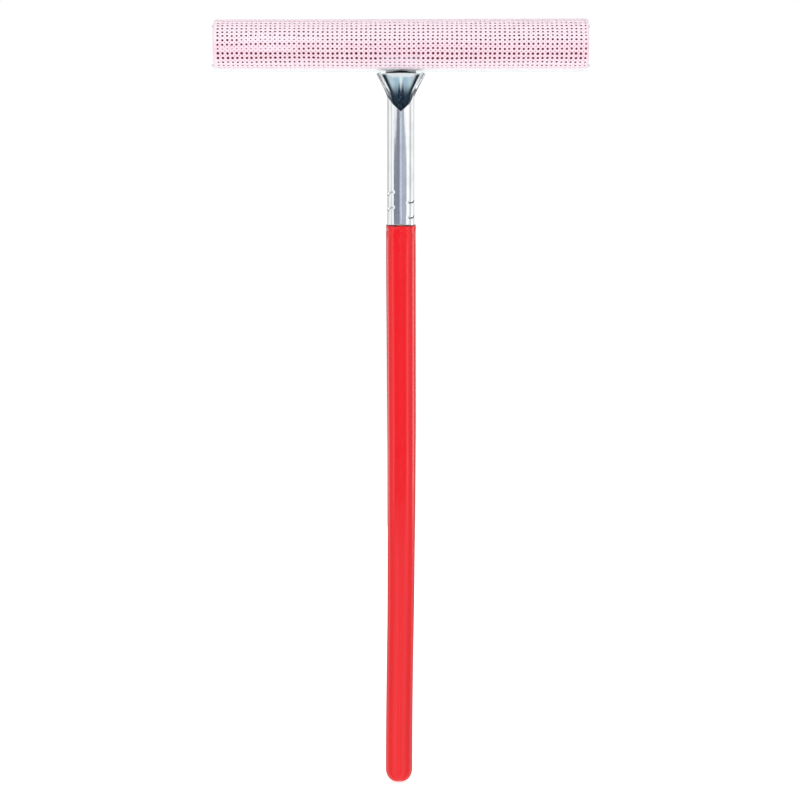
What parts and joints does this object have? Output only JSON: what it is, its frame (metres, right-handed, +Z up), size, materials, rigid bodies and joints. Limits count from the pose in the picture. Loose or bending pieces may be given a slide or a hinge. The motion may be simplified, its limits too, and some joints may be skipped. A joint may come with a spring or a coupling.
{
  "type": "windshield squeegee",
  "caption": "Hand squeegee with a netted sponge on one side of a folded steel head, a rubber blade on the other, and a film-wrapped wooden handle in a rolled steel socket.",
  "frame": {"origin": "middle of the small flat on the handle's lower end, on the handle's axis", "axes": "+Z up the handle to the head, X along the head, the sponge faces -Y and the rubber blade +Y"},
  "size_m": [0.254, 0.0629, 0.5119],
  "materials": {
    "wood": "bare turned softwood",
    "red_film": "glossy red film",
    "bright_steel": "bright plated",
    "zinc_steel": "zinc plated",
    "rubber": "satin black",
    "red_foam": "open foam",
    "pale_net": "knitted plastic net"
  },
  "bodies": {
    "handle": {"handle_core": "wood", "handle_sleeve": "red_film"},
    "head": {"socket": "bright_steel", "sponge_channel": "zinc_steel", "blade_channel": "zinc_steel", "rubber_blade": "rubber", "rivet_tongue_left": "zinc_steel", "rivet_tongue_right": "zinc_steel", "rivet_outer_left": "zinc_steel", "rivet_outer_right": "zinc_steel", "sponge": "red_foam", "net_cover": "pale_net"}
  },
  "joints": [
    {"name": "head_off", "type": "slide", "parent": "handle", "child": "head", "axis": [0, 0, 1], "range_m": [0, 0.052]}
  ]
}
